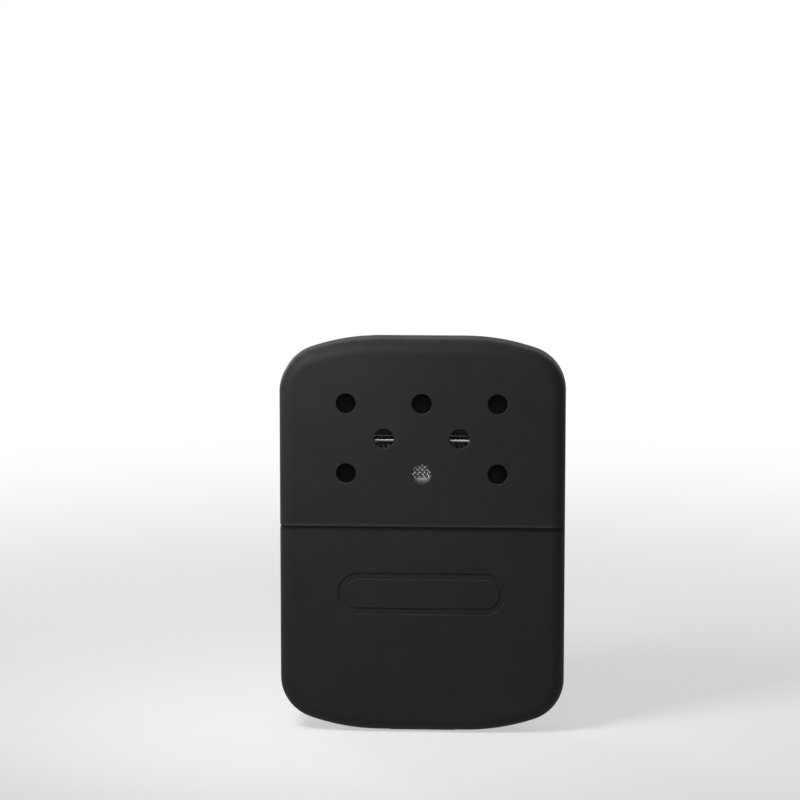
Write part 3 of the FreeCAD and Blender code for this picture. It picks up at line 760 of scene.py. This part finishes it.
def trim_sheet(width, height):
    """Cuts the active sheet along four lines and closes the cut wires."""
    sides = (((1, 0, 0), width), ((-1, 0, 0), width), ((0, 1, 0), height), ((0, -1, 0), height))
    bpy.ops.object.mode_set(mode="EDIT")
    for outward, reach in sides:
        bpy.ops.mesh.select_all(action="SELECT")
        bpy.ops.mesh.bisect(
            plane_co=Vector(outward) * reach / 2, plane_no=outward, use_fill=True, clear_outer=True,
            threshold=CUT_CLOSENESS)
    bpy.ops.object.mode_set(mode="OBJECT")


def woven_sheet(gauze, width, height):
    """A rectangle of plain weave in the XY plane, with its wires at half a right angle to the sides."""
    steps = math.ceil((width + height) / 2 / math.sqrt(2) / gauze.pitch) + SPARE_WIRES
    steps += steps % 2
    warp = warp_wires(gauze, steps)
    turned = turned_copy(warp, "x", math.pi)
    weft = turned_copy(turned, "z", math.pi / 2)
    bpy.data.objects.remove(turned)
    sheet = joined(warp, weft)
    sheet.rotation_euler.z = math.pi / 4
    apply_place(sheet)
    trim_sheet(width, height)
    bpy.ops.object.shade_smooth_by_angle(angle=SMOOTH_ANGLE)
    return sheet


# Fibre

# Each lump is the size of a patch and how deep it is worn
PAD_LUMPS = ((1.6 * MM, 0.35 * MM), (0.6 * MM, 0.25 * MM))
BATTING_LUMPS = ((6 * MM, 1.2 * MM), (2 * MM, 0.6 * MM))
WICK_LUMPS = ((1.8 * MM, 0.5 * MM), (0.6 * MM, 0.25 * MM))
# Seeds of the loose strands
PAD_SEED = 11
WICK_SEED = 23


def matted_copy(node_name, voxel, lumps):
    """A packed soft solid remeshed fine and worn hollow by lumps, each a patch size and a depth."""
    piece = merged_copy(node_name)
    piece.data.remesh_voxel_size = voxel
    bpy.ops.object.voxel_remesh()
    soft = piece.modifiers.new("Soft", "SMOOTH")
    soft.factor = 0.5
    soft.iterations = 3
    for patch, depth in lumps:
        texture = bpy.data.textures.new("lumps", "CLOUDS")
        texture.noise_scale = patch
        texture.noise_depth = 2
        hollow = piece.modifiers.new("Lumps", "DISPLACE")
        hollow.texture = texture
        hollow.texture_coords = "LOCAL"
        hollow.mid_level = 1.0
        hollow.strength = depth
    apply_all_modifiers(piece)
    bpy.ops.object.shade_smooth()
    return piece


def strand_piece(name, paths, radius):
    """Thin strands along lines of points, as one mesh."""
    curve = bpy.data.curves.new(name, "CURVE")
    curve.dimensions = "3D"
    curve.bevel_depth = radius
    curve.bevel_resolution = 0
    curve.use_fill_caps = True
    curve.resolution_u = 2
    for points in paths:
        spline = curve.splines.new("NURBS")
        spline.points.add(len(points) - 1)
        for spot, point in zip(spline.points, points):
            spot.co = (*point, 1)
        spline.order_u = 3
        spline.use_endpoint_u = True
    piece = bpy.data.objects.new(name, curve)
    bpy.context.collection.objects.link(piece)
    select_only(piece)
    bpy.ops.object.convert(target="MESH")
    bpy.ops.object.shade_smooth()
    return active()


def curl(chance, start, heading, length, bends, wander):
    """Points along a strand that wanders as it goes."""
    points = [Vector(start)]
    heading = Vector(heading).normalized()
    for _ in range(bends):
        heading += Vector([chance.uniform(-wander, wander) for _ in range(3)])
        heading.normalize()
        points.append(points[-1] + heading * length / bends)
    return points


def held_inside(points, low, high):
    """The points moved into a box."""
    return [Vector([min(max(part, a), b) for part, a, b in zip(point, low, high)]) for point in points]


def runs_on(points):
    """True if a strand goes forward at every point, and so was neither bunched nor folded by a box."""
    steps = [after - before for before, after in zip(points, points[1:])]
    return all(before.dot(after) > 0 for before, after in zip(steps, steps[1:]))


def pad_strand_paths(count):
    """Lines along the two faces of the catalyst pad, less those that its edges fold."""
    low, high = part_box("catalyst_pad")
    chance = random.Random(PAD_SEED)
    reach = high.x - (high.y - low.y) / 2
    sunk_share = 0.96
    bottom = low.z + 0.1 * MM
    top = high.z - 0.6 * MM
    paths = []
    for _ in range(count):
        face = chance.choice((low.y, high.y))
        start = (chance.uniform(-reach, reach), face, chance.uniform(low.z, high.z))
        heading = (chance.uniform(-1, 1), 0, chance.uniform(-1, 1))
        length = chance.uniform(2, 5) * MM
        line = curl(chance, start, heading, length, bends=5, wander=0.35)
        inner = (-reach, min(face, face * sunk_share), bottom)
        outer = (reach, max(face, face * sunk_share), top)
        paths.append(held_inside(line, inner, outer))
    return [path for path in paths if runs_on(path)]


def wick_strand_paths(count):
    """Lines that start in the top of the throat's cotton and mostly rise."""
    low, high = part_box("wick_tuft")
    chance = random.Random(WICK_SEED)
    reach = high.x - (high.y - low.y) / 2
    root = high.z - 0.3 * MM
    depth_share = 0.8
    inner = (low.x + 0.1 * MM, low.y, low.z + 0.5 * MM)
    outer = (high.x - 0.1 * MM, high.y, high.z + 0.6 * MM)
    paths = []
    for _ in range(count):
        across = chance.uniform(-reach, reach)
        start = (across, chance.uniform(depth_share * low.y, depth_share * high.y), root)
        heading = (chance.uniform(-1, 1), chance.uniform(-1, 1), chance.uniform(-0.1, 0.6))
        length = chance.uniform(1.5, 4) * MM
        line = curl(chance, start, heading, length, bends=6, wander=0.8)
        paths.append(held_inside(line, inner, outer))
    return paths


# Studio

# Side of the picture in points, and width of the camera's sensor in millimetres
PICTURE = 800
SENSOR = 36.0
FLOOR_SIDES = 96
FLOOR_RADIUS = 1.2
# The floor lies a hair below the object
FLOOR_DROP = 0.02 * MM
# How far from the object the floor starts to fade, and is white
FADE_START = 0.08
FADE_END = 0.45
# Share of white in the floor beside the object
LEAST_WHITE = 0.5
# Places and sizes of the lamps in metres, and the corner of the lid that the key lamp lights
KEY_PLACE = (-0.085, -0.088, 0.172)
LID_CORNER = (-0.025, 0, 0.09)
FILL_PLACE = (0.04, -1.1, 0.33)
BACK_PLACE = (-0.65, 0.85, 0.22)
KEY_SIDE = 0.07
FILL_SIDE = 0.25
BACK_SIDE = 0.3
KEY_SPREAD = math.radians(100)
FULL_SPREAD = math.pi


def aim(piece, at, target):
    """Puts a lamp or a camera at one point and turns it to another."""
    piece.location = at
    piece.rotation_euler = (Vector(target) - Vector(at)).to_track_quat("-Z", "Y").to_euler()


def add_lamp(name, at, target, side, power, spread):
    """A square lamp at one point, turned to another."""
    bpy.ops.object.light_add(type="AREA")
    lamp = active()
    lamp.name = name
    lamp.data.shape = "SQUARE"
    lamp.data.size = side
    lamp.data.energy = power
    lamp.data.spread = spread
    aim(lamp, at, target)


def seen_ray(tree):
    """1 for rays that show the background itself: those of the camera, of mirrors and of glass."""
    path = node(tree, "ShaderNodeLightPath").outputs
    shine = calc(tree, "MAXIMUM", path["Is Glossy Ray"], path["Is Transmission Ray"])
    return calc(tree, "MAXIMUM", path["Is Camera Ray"], shine)


def floor_finish(colour):
    """Plain pale floor, part white where it is seen, that fades to white away from the object."""
    material, tree, shader = new_finish("studio_floor")
    shader.inputs["Base Color"].default_value = colour
    shader.inputs["Roughness"].default_value = 0.9
    shader.inputs["Specular IOR Level"].default_value = 0.1
    away = node(tree, "ShaderNodeVectorMath", {0: place(tree)}, operation="LENGTH").outputs["Value"]
    inputs = {"Value": away, "From Min": FADE_START, "From Max": FADE_END, "To Min": LEAST_WHITE}
    fade = node(tree, "ShaderNodeMapRange", inputs, interpolation_type="SMOOTHSTEP").outputs["Result"]
    white = node(tree, "ShaderNodeEmission", {"Color": WHITE, "Strength": 1.0}).outputs[0]
    share = calc(tree, "MULTIPLY", fade, seen_ray(tree))
    mixed = node(tree, "ShaderNodeMixShader", {0: share, 1: shader.outputs[0], 2: white}).outputs[0]
    feed(tree.nodes["Material Output"], "Surface", mixed)
    return material


def white_world(strength):
    """Even light from all round, and plain white where the world itself is seen."""
    world = bpy.data.worlds.new("studio_world")
    world.use_nodes = True
    tree = world.node_tree
    light = tree.nodes["Background"]
    light.inputs["Color"].default_value = WHITE
    light.inputs["Strength"].default_value = strength
    white = node(tree, "ShaderNodeBackground", {"Color": WHITE, "Strength": 1.0}).outputs[0]
    mixed = node(tree, "ShaderNodeMixShader", {0: seen_ray(tree), 1: light.outputs[0], 2: white}).outputs[0]
    feed(tree.nodes["World Output"], "Surface", mixed)
    return world


def add_floor(colour, level):
    """A wide round floor just below the object."""
    bpy.ops.mesh.primitive_circle_add(
        vertices=FLOOR_SIDES, radius=FLOOR_RADIUS, fill_type="NGON", location=(0, 0, level - FLOOR_DROP))
    floor = active()
    floor.name = "studio_floor"
    apply_place(floor)
    floor.data.materials.append(floor_finish(colour))


def add_camera(studio, middle):
    """A camera that shows the object at a chosen scale, and its middle at a chosen point of the picture."""
    bpy.ops.object.camera_add()
    camera = active()
    camera.name = "studio_camera"
    camera.data.lens = studio.lens
    camera.data.sensor_width = SENSOR
    focal_points = studio.lens / SENSOR * PICTURE
    distance = focal_points / studio.scale * MM
    level = math.cos(studio.elevation)
    back = Vector((math.sin(studio.azimuth) * level, -math.cos(studio.azimuth) * level,
                   math.sin(studio.elevation)))
    right = Vector((math.cos(studio.azimuth), math.sin(studio.azimuth), 0))
    upward = back.cross(right)
    shift_right = (PICTURE / 2 - studio.across) / focal_points * distance
    shift_up = (studio.down - PICTURE / 2) / focal_points * distance
    aim(camera, middle + back * distance, middle + right * shift_right + upward * shift_up)
    return camera


# Operators

class WARMER_OT_coat_case(bpy.types.Operator):
    """Coats the lid and the tank"""
    bl_idname = "warmer.coat_case"
    bl_label = "Coat Case"

    def execute(self, context):
        material = black_coat_finish(context.scene.case_coat)
        dress(smooth_copy("tank_shell"), "coated_tank", material, "tank", "black_coat", "tank_shell")
        dress(smooth_copy("lid_shell"), "coated_lid", material, "lid", "black_coat", "lid_shell")
        return {"FINISHED"}


class WARMER_OT_plate_collar(bpy.types.Operator):
    """Plates the collar, the deck and the throat"""
    bl_idname = "warmer.plate_collar"
    bl_label = "Plate Collar"

    def execute(self, context):
        material = satin_nickel_finish(context.scene.plating, context.scene.case_coat)
        for name in ("tank_collar", "tank_deck", "filler_neck"):
            dress(smooth_copy(name), "plated_" + name, material, "tank", "collar_nickel", name)
        return {"FINISHED"}


class WARMER_OT_polish_burner(bpy.types.Operator):
    """Finishes the burner's skirt, plate and cage"""
    bl_idname = "warmer.polish_burner"
    bl_label = "Polish Burner"

    def execute(self, context):
        material = bright_steel_finish(context.scene.plating)
        for name in ("burner_skirt", "vapour_plate", "burner_cage"):
            dress(smooth_copy(name), "bright_" + name, material, "burner", "burner_steel", name)
        return {"FINISHED"}


class WARMER_OT_weave_gauze(bpy.types.Operator):
    """Weaves the wire gauzes behind the burner's two windows"""
    bl_idname = "warmer.weave_gauze"
    bl_label = "Weave Gauze"

    def execute(self, context):
        scene = context.scene
        material = gauze_wire_finish(scene.plating)
        low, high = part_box("front_gauze")
        sheet = woven_sheet(scene.gauze, high.x - low.x, high.z - low.z)
        level = (low.z + high.z) / 2
        seat = low.y + scene.gauze.wire
        front = turned_copy(sheet, "x", math.pi / 2, (0, seat, level))
        rear = turned_copy(sheet, "x", -math.pi / 2, (0, -seat, level))
        bpy.data.objects.remove(sheet)
        dress(front, "front_weave", material, "burner", "gauze_wire", "front_gauze")
        dress(rear, "rear_weave", material, "burner", "gauze_wire", "rear_gauze")
        return {"FINISHED"}


class WARMER_OT_mat_catalyst(bpy.types.Operator):
    """Makes the glass-fibre catalyst pad and its loose strands"""
    bl_idname = "warmer.mat_catalyst"
    bl_label = "Mat Catalyst"

    def execute(self, context):
        fibre = context.scene.fibre
        material = fibre_finish(
            "glass_fibre", fibre.glass, strand=0.22 * MM, sheen=0.3,
            shade_node="catalyst_pad", burner_shade=context.scene.plating.burner_shade)
        pad = matted_copy("catalyst_pad", voxel=0.2 * MM, lumps=PAD_LUMPS)
        dress(pad, "catalyst_mat", material, "burner", "glass_fibre", "catalyst_pad")
        paths = pad_strand_paths(fibre.pad_strands)
        strands = strand_piece("catalyst_strands", paths, radius=0.035 * MM)
        dress(strands, "catalyst_strands", material, "burner", "glass_fibre")
        return {"FINISHED"}


class WARMER_OT_pack_cotton(bpy.types.Operator):
    """Packs the tank with cotton and teases it up into the throat"""
    bl_idname = "warmer.pack_cotton"
    bl_label = "Pack Cotton"

    def execute(self, context):
        fibre = context.scene.fibre
        material = fibre_finish("cotton", fibre.cotton, strand=0.16 * MM, sheen=0.5)
        batting = matted_copy("cotton_batting", voxel=0.6 * MM, lumps=BATTING_LUMPS)
        dress(batting, "packed_cotton", material, "tank", "cotton", "cotton_batting")
        wick = matted_copy("wick_tuft", voxel=0.16 * MM, lumps=WICK_LUMPS)
        dress(wick, "throat_cotton", material, "tank", "cotton", "wick_tuft")
        paths = wick_strand_paths(fibre.wick_strands)
        strands = strand_piece("throat_strands", paths, radius=0.03 * MM)
        dress(strands, "throat_strands", material, "tank", "cotton")
        return {"FINISHED"}


class WARMER_OT_set_studio(bpy.types.Operator):
    """Sets the floor, the lamps, the surround and the camera"""
    bl_idname = "warmer.set_studio"
    bl_label = "Set Studio"

    def execute(self, context):
        scene = context.scene
        studio = scene.studio
        low, high = packed_box
        middle = (low + high) / 2
        add_floor(studio.floor, low.z)
        scene.world = white_world(studio.surround)
        add_lamp("key_lamp", KEY_PLACE, LID_CORNER, KEY_SIDE, studio.key_power, KEY_SPREAD)
        add_lamp("fill_lamp", FILL_PLACE, middle, FILL_SIDE, studio.fill_power, FULL_SPREAD)
        add_lamp("back_lamp", BACK_PLACE, middle, BACK_SIDE, studio.back_power, FULL_SPREAD)
        scene.camera = add_camera(studio, middle)
        scene.view_settings.view_transform = "Standard"
        return {"FINISHED"}


class WARMER_PT_panel(bpy.types.Panel):
    """Lists the settings and the steps"""
    bl_label = "Hand Warmer"
    bl_idname = "WARMER_PT_panel"
    bl_space_type = "VIEW_3D"
    bl_region_type = "UI"
    bl_category = "Hand Warmer"

    def draw(self, context):
        for name in SETTINGS:
            group = getattr(context.scene, name)
            box = self.layout.box()
            for key in group.bl_rna.properties.keys():
                if key not in ("rna_type", "name"):
                    box.prop(group, key)
        for operator in OPERATORS:
            self.layout.operator(operator.bl_idname)


SETTINGS = {
    "case_coat": CaseCoatSettings,
    "plating": PlatingSettings,
    "gauze": GauzeSettings,
    "fibre": FibreSettings,
    "studio": StudioSettings,
}
OPERATORS = (
    WARMER_OT_coat_case,
    WARMER_OT_plate_collar,
    WARMER_OT_polish_burner,
    WARMER_OT_weave_gauze,
    WARMER_OT_mat_catalyst,
    WARMER_OT_pack_cotton,
    WARMER_OT_set_studio,
)
CLASSES = (*SETTINGS.values(), *OPERATORS, WARMER_PT_panel)


def register():
    """Adds the settings, the steps and the panel."""
    for item in CLASSES:
        bpy.utils.register_class(item)
    for name, group in SETTINGS.items():
        setattr(bpy.types.Scene, name, bpy.props.PointerProperty(type=group))


def unregister():
    """Takes the settings, the steps and the panel away again."""
    for name in SETTINGS:
        delattr(bpy.types.Scene, name)
    for item in reversed(CLASSES):
        bpy.utils.unregister_class(item)


def main():
    """Makes every piece and the studio."""
    register()
    bpy.ops.warmer.coat_case()
    bpy.ops.warmer.plate_collar()
    bpy.ops.warmer.polish_burner()
    bpy.ops.warmer.weave_gauze()
    bpy.ops.warmer.mat_catalyst()
    bpy.ops.warmer.pack_cotton()
    bpy.ops.warmer.set_studio()


if __name__ == "__main__":
    main()
